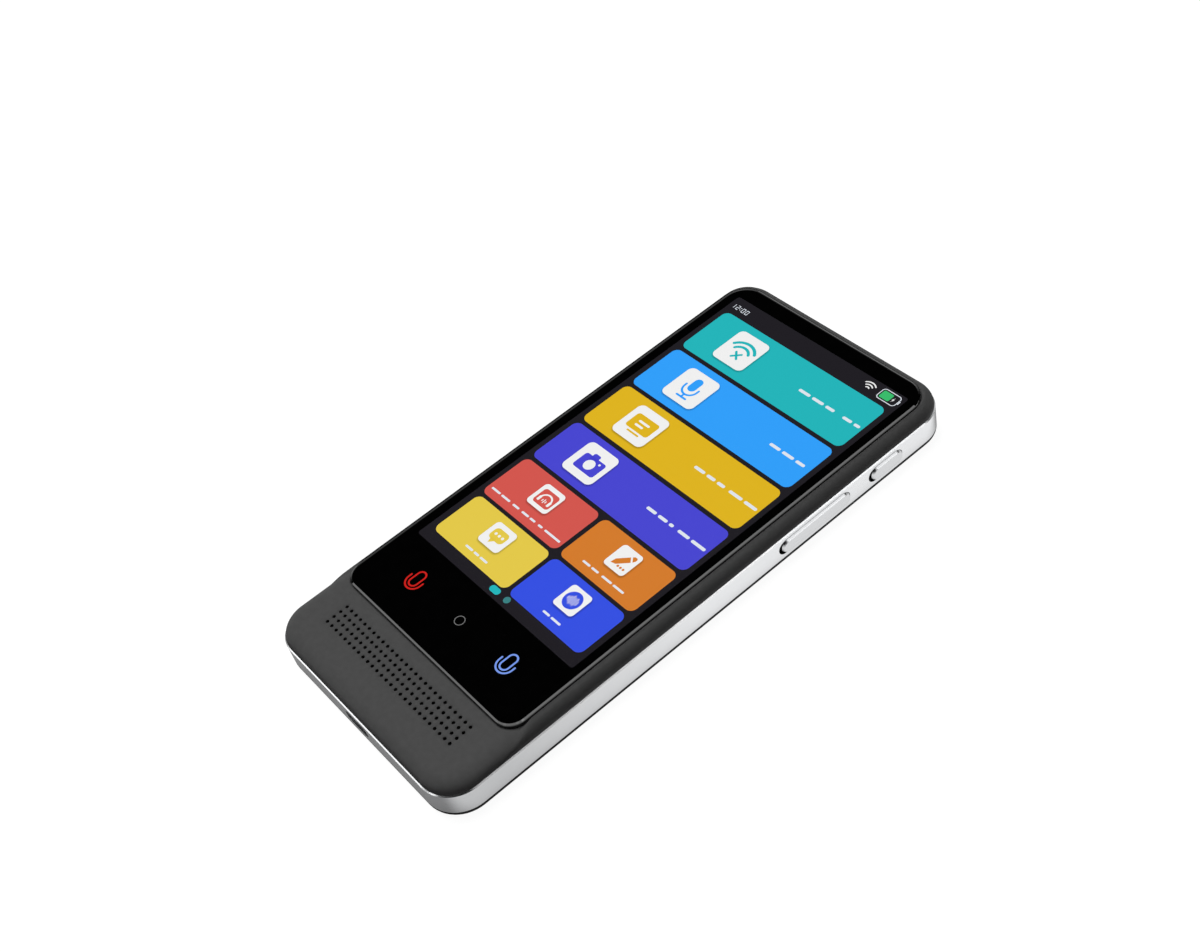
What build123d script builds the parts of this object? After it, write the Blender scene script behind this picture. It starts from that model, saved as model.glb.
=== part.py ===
from build123d import *
import os

# Handheld translator: a flat slab with a glass front, a plastic chin with a sound grille,
# a metal band round its sides, two side keys and a charging port in its lower end.
#
# Frame, in millimetres: the origin is the middle of the flat back, +X points to the side
# with the keys, +Y to the end away from the grille, +Z out of the screen.

# ---------------------------------------------------------------- display and cover glass
PICTURE_WIDTH = 62.1
PICTURE_LENGTH = 110.4
GLASS_BORDER_SIDE = 3.25
GLASS_BORDER_FAR = 5.35
GLASS_BORDER_NEAR = 20.95
GLASS_THICKNESS = 1.4
GLASS_RADIUS_FAR = 7.0
GLASS_RADIUS_NEAR = 5.0
GLASS_EDGE_WIDTH = 0.85
GLASS_EDGE_DROP = 0.45
GLASS_CLEARANCE = 0.2
ADHESIVE_THICKNESS = 0.1
ADHESIVE_INSET = 0.2
ADHESIVE_NEAR_WIDTH = 3.8
ADHESIVE_CORNER = 1.6
MODULE_BORDER_SIDE = 1.2
MODULE_BORDER_FAR = 2.0
MODULE_BORDER_NEAR = 5.2
MODULE_THICKNESS = 2.0
MODULE_CORNER = 1.2
MODULE_CLEARANCE = 0.2

# ---------------------------------------------------------------- housing
RIM_SIDE = 2.6
RIM_FAR = 3.05
RIM_LAND = 0.1
SHELL_INSET = 0.3  # the plastic is narrower than the band, whose bright edge shows
RIM_BELOW_GLASS = 0.5
RIM_ROUND = 2.85
RAMP_INSET = 6.5
RAMP_SLOPE = 0.31
CHIN_LENGTH = 21.0
CHIN_BELOW_GLASS = 1.25
CHIN_WALL = 1.2
CHIN_EDGE_WIDTH = 2.95
CHIN_EDGE_DROP = 1.8
CHIN_TUCK = 0.4
CHIN_TOP_ROUND = 5.6
CHIN_LOWER_ROUND = 2.75
CORNER_RADIUS = 9.2
BACK_HEIGHT = 2.1
BACK_FLOOR = 1.5
BACK_ROUND = 1.75
BAND_HEIGHT = 6.5
BAND_WALL = 2.2
BAND_CHAMFER = 0.28
FRONT_HEIGHT = 4.25
LIP_WALL = 1.15
FRONT_LIP = 1.2
BACK_LIP = 1.1
FIT = 0.1

# ---------------------------------------------------------------- grille and speaker
GRILLE_COLUMNS = 27
GRILLE_ROWS = 4
GRILLE_PITCH = 1.97
GRILLE_HOLE = 1.0
GRILLE_FROM_END = 13.7
SPEAKER_FLANGE = 0.25
SPEAKER_LENGTH = 14.2
SPEAKER_HEIGHT = 5.0
SPEAKER_MOUTH_DEPTH = 1.6
MESH_THICKNESS = 0.12
GASKET_HEIGHT = 0.9
GASKET_WALL = 0.75

# ---------------------------------------------------------------- side keys
KEY_HEIGHT = 5.25
SLOT_WIDTH = 4.1
POWER_SLOT = 11.85
VOLUME_SLOT = 24.1
POWER_FROM_END = 23.8
VOLUME_FROM_POWER = 24.5
KEY_CLEARANCE = 0.22
KEY_PROUD = 0.6
KEY_ROUND = 0.5
POWER_WING = 0.7
POWER_WING_GAP = 0.05
VOLUME_WING = 0.65
VOLUME_WING_GAP = 0.3
WING_REACH = 1.2
NUB_DIAMETER = 2.0
NUB_GAP = 0.35
DOME_SPACING = 16.0
DOME_DIAMETER = 2.2
DOME_HEIGHT = 0.45
DOME_BASE = 0.25
DOME_PLATE = 3.3
DOME_SLOPE = 45
KEY_FLEX = 0.15
KEY_BRACKET = 0.8

# ---------------------------------------------------------------- charging port
PORT_WIDTH = 9.3
PORT_HEIGHT = 3.5
PORT_CLEARANCE = 0.17
PORT_WALL = 0.3
PORT_DEPTH = 6.4
PORT_SETBACK = 1.0
TONGUE_WIDTH = 6.7
TONGUE_THICKNESS = 0.7
TONGUE_SETBACK = 0.6

# ---------------------------------------------------------------- inner structure
CHASSIS_THICKNESS = 1.0
LUG_LENGTH = 5.4
LUG_DEPTH = 5.4
LUG_HEIGHT = 1.8
LUG_GAP = 0.45
LUG_TO_KEY_STRIP = 8.41
SCREW_FROM_LUG_TIP = 2.6
SCREW_DIAMETER = 1.4
SCREW_HEAD = 2.6
SCREW_HEAD_HEIGHT = 0.5
SCREW_CLEARANCE = 0.1
STANDOFF_DIAMETER = 3.6
BOARD_THICKNESS = 1.0
BOARD_BELOW_CHASSIS = 1.5
BOARD_MARGIN = 2.6
CAN_HEIGHT = 2.4
CAN_WALL = 0.2
BATTERY_SIDE_ROOM = 2.9
BATTERY_HEIGHT = 5.7
TAPE_THICKNESS = 0.2
TAPE_WIDTH = 15.0
SUB_BOARD_WIDTH = 47.0
SUB_BOARD_THICKNESS = 1.0
SUB_BOARD_RIB = 1.0
FLEX_THICKNESS = 0.2
FLEX_WIDTH = 16.0
FLEX_TURN = 0.7
FLEX_LOOP = 0.9
CONNECTOR_HEIGHT = 0.6
SOCKET_FROM_EDGE = 4.0
SOCKET_REACH = 5.3
SOFT_CORNER = 1.0
PROCESSOR_SIZE = 12.0
MEMORY_SIZE = 9.0
CHIP_HEIGHT = 1.0
SMALL_SIDES = 8  # sides of the small round holes, screws and domes, which repeat
GRILLE_SIDES = 6
CORNER_CUT = 0.75  # cut of a hidden corner, as a share of the radius it stands in for

# ---------------------------------------------------------------- camera, flash, microphones
CAMERA_FROM_SIDE = 18.4
CAMERA_SIZE = 8.5
CAMERA_BARREL = 6.5
WINDOW_DIAMETER = 8.0
WINDOW_THICKNESS = 1.0
WINDOW_SETBACK = 0.15
WINDOW_LEDGE = 0.9
FLASH_FROM_CAMERA = 11.2
FLASH_DIAMETER = 3.6
FLASH_LEDGE = 0.4
MICROPHONE_PLACES = (-22.5, 7.5)
MICROPHONE_HOLE = 1.0
MICROPHONE_WIDTH = 3.4
MICROPHONE_DEPTH = 2.3

# ---------------------------------------------------------------- touch keys under the glass
TOUCH_FROM_PICTURE = 9.35
TOUCH_PLACES = (-18.2, 0.2, 18.85)
TOUCH_GUIDE_SIZES = ((5.8, 6.4), (4.0, 4.0), (5.8, 6.4))
TOUCH_POCKET_WIDTH = 51.0
TOUCH_POCKET_LENGTH = 10.2
TOUCH_FILM = 0.2
TOUCH_GUIDE = 0.7
ANTENNA_WIDTH = 25.0
ANTENNA_LENGTH = 7.5
ANTENNA_THICKNESS = 0.15

# ---------------------------------------------------------------- worked-out sizes
# plan
glass_x = PICTURE_WIDTH / 2 + GLASS_BORDER_SIDE
glass_length = GLASS_BORDER_NEAR + PICTURE_LENGTH + GLASS_BORDER_FAR
body_x = glass_x + GLASS_CLEARANCE + RIM_SIDE
body_y = (CHIN_LENGTH + glass_length + 2 * GLASS_CLEARANCE + RIM_FAR) / 2
shell_x = body_x - SHELL_INSET
shell_y = body_y - SHELL_INSET
shell_radius = CORNER_RADIUS - SHELL_INSET
glass_far = body_y - RIM_FAR - GLASS_CLEARANCE
glass_near = glass_far - glass_length
picture_near = glass_near + GLASS_BORDER_NEAR
module_x = PICTURE_WIDTH / 2 + MODULE_BORDER_SIDE
module_near = picture_near - MODULE_BORDER_NEAR
module_far = glass_far - GLASS_BORDER_FAR + MODULE_BORDER_FAR
cavity_x = body_x - BAND_WALL
cavity_y = body_y - BAND_WALL
cavity_radius = CORNER_RADIUS - BAND_WALL
lip_x = cavity_x - FIT
lip_y = cavity_y - FIT
lip_radius = cavity_radius - FIT
hollow_x = lip_x - LIP_WALL
hollow_y = lip_y - LIP_WALL
hollow_cut = CORNER_CUT * (lip_radius - LIP_WALL)

# heights
band_bottom = BACK_HEIGHT
band_top = band_bottom + BAND_HEIGHT
glass_top = band_top + FRONT_HEIGHT
glass_bottom = glass_top - GLASS_THICKNESS
ledge_top = glass_bottom - ADHESIVE_THICKNESS
rim_top = glass_top - RIM_BELOW_GLASS
chin_top = glass_top - CHIN_BELOW_GLASS
chassis_top = glass_bottom - MODULE_THICKNESS
chassis_bottom = chassis_top - CHASSIS_THICKNESS
board_top = chassis_bottom - BOARD_BELOW_CHASSIS
board_bottom = board_top - BOARD_THICKNESS
can_bottom = board_bottom - CAN_HEIGHT
battery_top = chassis_bottom - TAPE_THICKNESS
battery_bottom = battery_top - BATTERY_HEIGHT

# lower end, measured from the near wall
port_mouth = -body_y + PORT_SETBACK
port_end = port_mouth + PORT_DEPTH
port_shell_width = PORT_WIDTH - 2 * PORT_CLEARANCE
port_shell_height = PORT_HEIGHT - 2 * PORT_CLEARANCE
sub_board_top = KEY_HEIGHT - port_shell_height / 2
sub_board_bottom = sub_board_top - SUB_BOARD_THICKNESS
sub_board_near = -hollow_y + FIT
grille_y = -body_y + GRILLE_FROM_END
grille_width = (GRILLE_COLUMNS - 1) * GRILLE_PITCH + GRILLE_HOLE
grille_length = (GRILLE_ROWS - 1) * GRILLE_PITCH + GRILLE_HOLE
grille_patch_x = grille_width / 2 + GASKET_WALL
speaker_x = grille_patch_x + SPEAKER_FLANGE
grille_pocket_top = chin_top - CHIN_WALL
mesh_bottom = grille_pocket_top - MESH_THICKNESS
speaker_top = mesh_bottom - GASKET_HEIGHT
speaker_near = port_end + KEY_CLEARANCE
speaker_far = speaker_near + SPEAKER_LENGTH
sub_board_far = speaker_far - FIT

# places of the side keys and their switches along the side
power_y = body_y - POWER_FROM_END
volume_y = power_y - VOLUME_FROM_POWER
dome_places = (volume_y - DOME_SPACING / 2, volume_y + DOME_SPACING / 2, power_y)
key_strip_near = dome_places[0] - DOME_DIAMETER

# chassis, battery and board, laid out from the speaker to the far wall
camera_x = body_x - CAMERA_FROM_SIDE
chassis_x = hollow_x - FIT
battery_x = chassis_x - BATTERY_SIDE_ROOM
chassis_near = speaker_far + KEY_CLEARANCE
chassis_far = hollow_y - FIT
near_lug_y = chassis_near + LUG_LENGTH / 2
battery_near = near_lug_y + LUG_LENGTH / 2 + LUG_GAP
middle_lug_y = key_strip_near - LUG_TO_KEY_STRIP - LUG_LENGTH / 2
battery_far = middle_lug_y - LUG_LENGTH / 2 - LUG_GAP
camera_y = chassis_far - CAMERA_SIZE / 2 - LUG_GAP
far_lug_y = camera_y
board_near = middle_lug_y + LUG_LENGTH / 2 + LUG_GAP
board_far = camera_y - CAMERA_SIZE / 2 - LUG_GAP
lug_tip = cavity_x - LUG_DEPTH
screw_x = lug_tip + SCREW_FROM_LUG_TIP
tongue_left = -lug_tip + LUG_GAP
tongue_right = camera_x - CAMERA_SIZE / 2 - LUG_GAP
tongue_far = cavity_y - MICROPHONE_DEPTH

# side keys, from the wall inwards
power_wing_inner = cavity_x - POWER_WING_GAP - POWER_WING
volume_wing_inner = cavity_x - VOLUME_WING_GAP - VOLUME_WING
nub_tip = power_wing_inner - NUB_GAP - FIT
dome_tip = nub_tip - NUB_GAP
dome_foot = dome_tip - DOME_HEIGHT
key_flex_inner = dome_foot - KEY_FLEX
bracket_inner = key_flex_inner - KEY_BRACKET
board_right = bracket_inner - LUG_GAP
board_left = -chassis_x + FIT + LIP_WALL

touch_y = picture_near - TOUCH_FROM_PICTURE
slot_flex_y = board_near + SOCKET_FROM_EDGE

os.makedirs("parts", exist_ok=True)


# ---------------------------------------------------------------- helpers
def both(half):
    """Span centred on zero."""
    return (-half, half)


def around(middle, half):
    """Span centred on a value."""
    return (middle - half, middle + half)


def on_both_sides(inner, outer):
    """The same span of x on the right and, mirrored, on the left."""
    return ((inner, outer), (-outer, -inner))


def block(x, y, z, radius=0, mode=Mode.ADD, cut=0):
    """Upright block between two values of x, y and z, its corners rounded or cut if asked."""
    width = x[1] - x[0]
    length = y[1] - y[0]
    with BuildSketch(Plane.XY.offset(z[0])) as outline:
        with Locations(((x[0] + x[1]) / 2, (y[0] + y[1]) / 2)):
            if radius:
                RectangleRounded(width, length, radius)
            else:
                Rectangle(width, length)
        if cut:
            chamfer(outline.vertices(), cut)
    extrude(outline.sketch, amount=z[1] - z[0], mode=mode)


def rod(diameter, z, places, mode=Mode.ADD):
    """Upright cylinders between two heights."""
    with BuildSketch(Plane.XY.offset(z[0])) as outline:
        with Locations(*places):
            Circle(diameter / 2)
    extrude(outline.sketch, amount=z[1] - z[0], mode=mode)


def small_rod(diameter, z, places, mode=Mode.ADD):
    """Small upright round bars or holes that repeat, drawn with few sides."""
    with BuildSketch(Plane.XY.offset(z[0])) as outline:
        with Locations(*places):
            RegularPolygon(diameter / 2, SMALL_SIDES)
    extrude(outline.sketch, amount=z[1] - z[0], mode=mode)


def glass_plate(grow, z, mode=Mode.ADD):
    """Plate with the outline of the cover glass, grown or shrunk all round."""
    with BuildSketch(Plane.XY.offset(z[0])) as outline:
        with Locations((0, (glass_near + glass_far) / 2)):
            Rectangle(2 * (glass_x + grow), glass_length + 2 * grow)
        fillet(outline.vertices().group_by(Axis.Y)[-1], GLASS_RADIUS_FAR + grow)
        fillet(outline.vertices().group_by(Axis.Y)[0], GLASS_RADIUS_NEAR + grow)
    extrude(outline.sketch, amount=z[1] - z[0], mode=mode)


def side_slot(length, width, y, x, mode=Mode.ADD):
    """Bar with round ends along y, at the height of the keys, between two values of x."""
    with BuildSketch(Plane.YZ.offset(x[0])) as outline:
        with Locations((y, KEY_HEIGHT)):
            SlotOverall(length, width)
    extrude(outline.sketch, amount=x[1] - x[0], mode=mode)


def side_plate(y, z, x, mode=Mode.ADD):
    """Plate that stands along the side wall, between two values of y, z and x."""
    with BuildSketch(Plane.YZ.offset(x[0])) as outline:
        with Locations(((y[0] + y[1]) / 2, (z[0] + z[1]) / 2)):
            Rectangle(y[1] - y[0], z[1] - z[0])
    extrude(outline.sketch, amount=x[1] - x[0], mode=mode)


def side_disc(diameter, places, x, taper=0):
    """Small discs on the line of the keys, between two values of x."""
    with BuildSketch(Plane.YZ.offset(x[0])) as outline:
        with Locations(*[(y, KEY_HEIGHT) for y in places]):
            RegularPolygon(diameter / 2, SMALL_SIDES)
    extrude(outline.sketch, amount=x[1] - x[0], taper=taper)


def end_slot(length, width, y, mode=Mode.ADD):
    """Bar with round ends along x, at the middle of the port, between two values of y."""
    with BuildSketch(Plane.XZ.offset(-y[1])) as outline:
        with Locations((0, KEY_HEIGHT)):
            SlotOverall(length, width)
    extrude(outline.sketch, amount=y[1] - y[0], mode=mode)


def countersunk(at, start, length, way, grow=0, mode=Mode.ADD):
    """Countersunk screw, or its hole when grown, from its head's face along +Z or -Z."""
    neck = start + way * SCREW_HEAD_HEIGHT
    rings = []
    for height, diameter in ((start, SCREW_HEAD), (neck, SCREW_DIAMETER)):
        with BuildSketch(Plane.XY.offset(height)) as ring:
            with Locations(at):
                RegularPolygon(diameter / 2 + grow, SMALL_SIDES)
        rings.append(ring.sketch)
    loft(rings, mode=mode)
    shank = sorted((neck, start + way * length))
    small_rod(SCREW_DIAMETER + 2 * grow, shank, [at], mode)


def ribbon(route, width):
    """Flat ribbon on the middle line, creased at the points of a (y, z) route."""
    with BuildSketch(Plane.YZ) as side_view:
        with BuildLine() as centre:
            Polyline(*route)
        trace(centre.line, line_width=FLEX_THICKNESS)
    extrude(side_view.sketch, amount=width / 2, both=True)


def soft_edge(piece, face_axis, size):
    """Ease the edge of the outermost face along an axis, in two flats."""
    for length, depth in ((size, size / 4), (size / 4, size / 2)):
        face = piece.faces().sort_by(face_axis)[-1]
        chamfer(face.edges(), length=length, length2=depth, reference=face)


def save(piece, name):
    piece.part.label = name
    export_step(piece.part, f"parts/{name}.step")


# ---------------------------------------------------------------- front shell
# The rim round the glass falls in a ramp at both sides of the chin.
rim_slope = RIM_SIDE - RIM_LAND - SHELL_INSET
rim_knee = rim_top - rim_slope
ramp_peak = glass_near + RAMP_INSET
ramp_run = (rim_top - band_top) / RAMP_SLOPE

with BuildPart() as rim:
    block(both(shell_x), both(shell_y), (band_top, rim_top), shell_radius)
    chamfer(rim.edges().group_by(Axis.Z)[-1], rim_slope)
    fillet(rim.edges().filter_by_position(Axis.Z, rim_knee - FIT, rim_knee + FIT), RIM_ROUND)
    with BuildSketch(Plane.YZ) as above_ramp:
        with BuildLine():
            Polyline(
                (ramp_peak - ramp_run, band_top),
                (ramp_peak + ramp_run, 2 * rim_top - band_top),
                (-body_y - ramp_run, 2 * rim_top - band_top),
                (-body_y - ramp_run, band_top),
                close=True,
            )
        make_face()
    extrude(amount=2 * body_x, both=True, mode=Mode.SUBTRACT)

grille_patch_y = around(grille_y, grille_length / 2 + GASKET_WALL)
chassis_lugs = [(sign * screw_x, y) for y in (near_lug_y, middle_lug_y, far_lug_y) for sign in (-1, 1)]

with BuildPart() as front_shell:
    # chin with a soft edge, tucked in by a hair where it meets the band
    block(both(shell_x), both(shell_y), (band_top - CHIN_TUCK, chin_top), shell_radius)
    chin_face = front_shell.faces().sort_by(Axis.Z)[-1]
    chin_edge = CHIN_EDGE_WIDTH - SHELL_INSET
    chamfer(chin_face.edges(), length=chin_edge, length2=CHIN_EDGE_DROP, reference=chin_face)
    chin_knee = chin_top - CHIN_EDGE_DROP
    fillet(front_shell.edges().group_by(Axis.Z)[-1], CHIN_TOP_ROUND)
    fillet(
        front_shell.edges().filter_by_position(Axis.Z, chin_knee - FIT, chin_knee + FIT),
        CHIN_LOWER_ROUND,
    )
    block(both(body_x), both(body_y), (0, band_top), mode=Mode.SUBTRACT)
    block(both(body_x), (ramp_peak, body_y), (band_top, chin_top), mode=Mode.SUBTRACT)
    add(rim.part)
    # lip that drops into the band, and the room for chassis and speaker
    block(both(lip_x), both(lip_y), (band_top - FRONT_LIP, band_top), lip_radius)
    block(
        both(hollow_x),
        both(hollow_y),
        (band_top - FRONT_LIP, chassis_top),
        mode=Mode.SUBTRACT,
        cut=hollow_cut,
    )
    for lug_y in (near_lug_y, middle_lug_y, far_lug_y):
        block(
            both(cavity_x),
            around(lug_y, LUG_LENGTH / 2 + KEY_CLEARANCE),
            (band_top - FRONT_LIP, band_top),
            mode=Mode.SUBTRACT,
        )
    # seat of the glass, window for the display, notch for its ribbon, room for the touch keys
    glass_plate(GLASS_CLEARANCE, (ledge_top, glass_top), Mode.SUBTRACT)
    block(
        both(module_x + MODULE_CLEARANCE),
        (module_near - MODULE_CLEARANCE, module_far + MODULE_CLEARANCE),
        (chassis_top, ledge_top),
        mode=Mode.SUBTRACT,
    )
    block(
        both(FLEX_WIDTH / 2 + KEY_CLEARANCE),
        (module_near - 2 * FLEX_TURN, module_near),
        (chassis_top, ledge_top),
        mode=Mode.SUBTRACT,
    )
    block(
        both(TOUCH_POCKET_WIDTH / 2),
        (module_near - TOUCH_POCKET_LENGTH, module_near),
        (glass_bottom - TOUCH_FILM - TOUCH_GUIDE, ledge_top),
        mode=Mode.SUBTRACT,
    )
    # grille and the pocket for its mesh and gasket
    block(
        both(grille_patch_x + FIT),
        (grille_patch_y[0] - FIT, grille_patch_y[1] + FIT),
        (chassis_top, grille_pocket_top),
        mode=Mode.SUBTRACT,
    )
    with BuildSketch(Plane.XY.offset(grille_pocket_top - FIT)):
        with Locations((0, grille_y)):
            with GridLocations(GRILLE_PITCH, GRILLE_PITCH, GRILLE_COLUMNS, GRILLE_ROWS):
                RegularPolygon(GRILLE_HOLE / 2, GRILLE_SIDES)
    extrude(amount=CHIN_WALL + 2 * FIT, mode=Mode.SUBTRACT)
save(front_shell, "front_shell")

# ---------------------------------------------------------------- metal band
sub_screw_x = SUB_BOARD_WIDTH / 2 - 2 * SCREW_DIAMETER
sub_screws = [(sign * sub_screw_x, sub_board_near + SCREW_HEAD) for sign in (-1, 1)]

with BuildPart() as mid_frame:
    block(both(body_x), both(body_y), (band_bottom, band_top), CORNER_RADIUS)
    chamfer(mid_frame.edges().group_by(Axis.Z)[-1], BAND_CHAMFER)
    block(both(cavity_x), both(cavity_y), (band_bottom, band_top), cavity_radius, Mode.SUBTRACT)
    for lug_y in (near_lug_y, middle_lug_y, far_lug_y):
        for span in on_both_sides(lug_tip, cavity_x + BAND_WALL / 2):
            block(span, around(lug_y, LUG_LENGTH / 2), (chassis_bottom - LUG_HEIGHT, chassis_bottom))
    small_rod(SCREW_DIAMETER + 2 * SCREW_CLEARANCE, (0, band_top), chassis_lugs, Mode.SUBTRACT)
    for x, y in sub_screws:
        block(
            around(x, LUG_LENGTH / 2),
            (-cavity_y - BAND_WALL / 2, speaker_near - LUG_GAP),
            (sub_board_top, sub_board_top + LUG_HEIGHT),
        )
    small_rod(
        SCREW_DIAMETER + 2 * SCREW_CLEARANCE,
        (sub_board_top, sub_board_top + LUG_HEIGHT),
        sub_screws,
        Mode.SUBTRACT,
    )
    through_side = (cavity_x - FIT, body_x + FIT)
    side_slot(POWER_SLOT, SLOT_WIDTH, power_y, through_side, Mode.SUBTRACT)
    side_slot(VOLUME_SLOT, SLOT_WIDTH, volume_y, through_side, Mode.SUBTRACT)
    end_slot(PORT_WIDTH, PORT_HEIGHT, (-body_y - FIT, -cavity_y + FIT), Mode.SUBTRACT)
    with BuildSketch(Plane.XZ.offset(-body_y - FIT)):
        with Locations(*[(x, KEY_HEIGHT) for x in MICROPHONE_PLACES]):
            RegularPolygon(MICROPHONE_HOLE / 2, SMALL_SIDES)
    extrude(amount=BAND_WALL + 2 * FIT, mode=Mode.SUBTRACT)
save(mid_frame, "mid_frame")

# ---------------------------------------------------------------- back cover
camera_place = (camera_x, camera_y)
flash_place = (camera_x - FLASH_FROM_CAMERA, camera_y)
window_top = WINDOW_SETBACK + WINDOW_THICKNESS
flash_hole = FLASH_DIAMETER + 2 * FIT

with BuildPart() as back_cover:
    block(both(body_x), both(body_y), (0, band_bottom), CORNER_RADIUS)
    fillet(back_cover.edges().group_by(Axis.Z)[0], BACK_ROUND)
    block(both(lip_x), both(lip_y), (band_bottom, band_bottom + BACK_LIP), lip_radius)
    block(
        both(hollow_x),
        both(hollow_y),
        (BACK_FLOOR, band_bottom + BACK_LIP),
        mode=Mode.SUBTRACT,
        cut=hollow_cut,
    )
    for span in on_both_sides(sub_screw_x / 2, sub_screw_x / 2 + SUB_BOARD_RIB):
        block(span, (sub_board_near, sub_board_far), (BACK_FLOOR, sub_board_bottom))
    rod(WINDOW_DIAMETER + 2 * FIT, (0, window_top), [camera_place], Mode.SUBTRACT)
    small_rod(WINDOW_DIAMETER - 2 * WINDOW_LEDGE, (0, BACK_FLOOR), [camera_place], Mode.SUBTRACT)
    rod(flash_hole, (0, window_top), [flash_place], Mode.SUBTRACT)
    small_rod(FLASH_DIAMETER - 2 * FLASH_LEDGE, (0, BACK_FLOOR), [flash_place], Mode.SUBTRACT)
save(back_cover, "back_cover")

with BuildPart() as camera_window:
    rod(WINDOW_DIAMETER, (WINDOW_SETBACK, window_top), [camera_place])
save(camera_window, "camera_window")

with BuildPart() as flash_lens:
    rod(FLASH_DIAMETER, (WINDOW_SETBACK, window_top), [flash_place])
    chamfer(flash_lens.edges().group_by(Axis.Z)[0], WINDOW_SETBACK)
save(flash_lens, "flash_lens")

# ---------------------------------------------------------------- glass and display
with BuildPart() as cover_glass:
    glass_plate(0, (glass_bottom, glass_top))
    glass_face = cover_glass.faces().sort_by(Axis.Z)[-1]
    chamfer(glass_face.edges(), length=GLASS_EDGE_WIDTH, length2=GLASS_EDGE_DROP, reference=glass_face)
save(cover_glass, "cover_glass")

with BuildPart() as glass_adhesive:
    glass_plate(-ADHESIVE_INSET, (ledge_top, glass_bottom))
    block(
        both(module_x + 2 * MODULE_CLEARANCE),
        (glass_near + ADHESIVE_NEAR_WIDTH, module_far + 2 * MODULE_CLEARANCE),
        (ledge_top, glass_bottom),
        mode=Mode.SUBTRACT,
        cut=ADHESIVE_CORNER,
    )
save(glass_adhesive, "glass_adhesive")

with BuildPart() as display_module:
    block(
        both(module_x),
        (module_near, module_far),
        (chassis_top, glass_bottom),
        cut=MODULE_CORNER,
    )
save(display_module, "display_module")

# ribbon of the display: out of its near edge, back under it in a channel, down to the board
flex_channel = chassis_top - 2 * FLEX_THICKNESS
ribbon_z = flex_channel + FLEX_THICKNESS / 2 + FIT / 2
display_connector = board_top + CONNECTOR_HEIGHT
with BuildPart() as display_flex:
    ribbon(
        (
            (module_near, ribbon_z + FLEX_TURN),
            (module_near - FLEX_LOOP, ribbon_z + FLEX_TURN),
            (module_near - FLEX_LOOP, ribbon_z),
            (slot_flex_y, ribbon_z),
            (slot_flex_y, display_connector + FLEX_THICKNESS / 2),
            (slot_flex_y + SOCKET_REACH, display_connector + FLEX_THICKNESS / 2),
        ),
        FLEX_WIDTH,
    )
save(display_flex, "display_flex")

# ---------------------------------------------------------------- touch keys
touch_guide_z = (glass_bottom - TOUCH_FILM - TOUCH_GUIDE, glass_bottom - TOUCH_FILM)
for number, (x, (width, length)) in enumerate(zip(TOUCH_PLACES, TOUCH_GUIDE_SIZES), start=1):
    with BuildPart() as light_guide:
        block(around(x, width / 2), around(touch_y, length / 2), touch_guide_z)
    save(light_guide, f"key_light_guide_{number}")

with BuildPart() as touch_key_film:
    block(
        both(TOUCH_POCKET_WIDTH / 2 - FIT),
        (module_near - TOUCH_POCKET_LENGTH + FIT, module_near - MODULE_CLEARANCE),
        (glass_bottom - TOUCH_FILM, glass_bottom),
    )
save(touch_key_film, "touch_key_film")

# ---------------------------------------------------------------- chassis
board_screw_inset = SCREW_HEAD / 2 + LUG_GAP
board_screws = [
    (x, y)
    for x in (board_left + board_screw_inset, board_right - board_screw_inset)
    for y in (board_near + board_screw_inset, board_far - board_screw_inset)
]
standoff_hole = SCREW_DIAMETER + 2 * SCREW_CLEARANCE

with BuildPart() as chassis:
    block(both(chassis_x), (chassis_near, chassis_far), (chassis_bottom, chassis_top), cut=hollow_cut)
    small_rod(STANDOFF_DIAMETER, (board_top, chassis_bottom), board_screws)
    block(
        both(FLEX_WIDTH / 2 + KEY_CLEARANCE),
        (module_near - 2 * FLEX_TURN, slot_flex_y + FLEX_TURN / 2),
        (flex_channel, chassis_top),
        mode=Mode.SUBTRACT,
    )
    block(
        both(FLEX_WIDTH / 2 + KEY_CLEARANCE),
        around(slot_flex_y, FLEX_TURN),
        (chassis_bottom, chassis_top),
        mode=Mode.SUBTRACT,
    )
    small_rod(standoff_hole, (board_top, chassis_top - 2 * FIT), board_screws, Mode.SUBTRACT)
    for place in chassis_lugs:
        countersunk(place, chassis_top, CHASSIS_THICKNESS, -1, SCREW_CLEARANCE, Mode.SUBTRACT)
save(chassis, "chassis")

chassis_screw_length = CHASSIS_THICKNESS + LUG_HEIGHT - FIT
for number, place in enumerate(chassis_lugs, start=1):
    with BuildPart() as chassis_screw:
        countersunk(place, chassis_top, chassis_screw_length, -1)
    save(chassis_screw, f"chassis_screw_{number}")

# ---------------------------------------------------------------- mainboard
with BuildPart() as mainboard:
    block((board_left, board_right), (board_near, board_far), (board_bottom, board_top))
    block((tongue_left, tongue_right), (board_far, tongue_far), (board_bottom, board_top))
    small_rod(standoff_hole, (board_bottom, board_top), board_screws, Mode.SUBTRACT)
    # sockets for the display, the battery and the lower board
    block(
        both(FLEX_WIDTH / 2),
        (slot_flex_y + FLEX_TURN, slot_flex_y + SOCKET_REACH),
        (board_top, display_connector),
    )
    # processor and memory under the cans
    chip_y = (board_near + board_far) / 2
    chip_z = (board_bottom - CHIP_HEIGHT, board_bottom)
    block(around(board_left / 2, PROCESSOR_SIZE / 2), around(chip_y, PROCESSOR_SIZE / 2), chip_z)
    block(around(board_right / 2, MEMORY_SIZE / 2), around(chip_y, MEMORY_SIZE / 2), chip_z)
save(mainboard, "mainboard")

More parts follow.
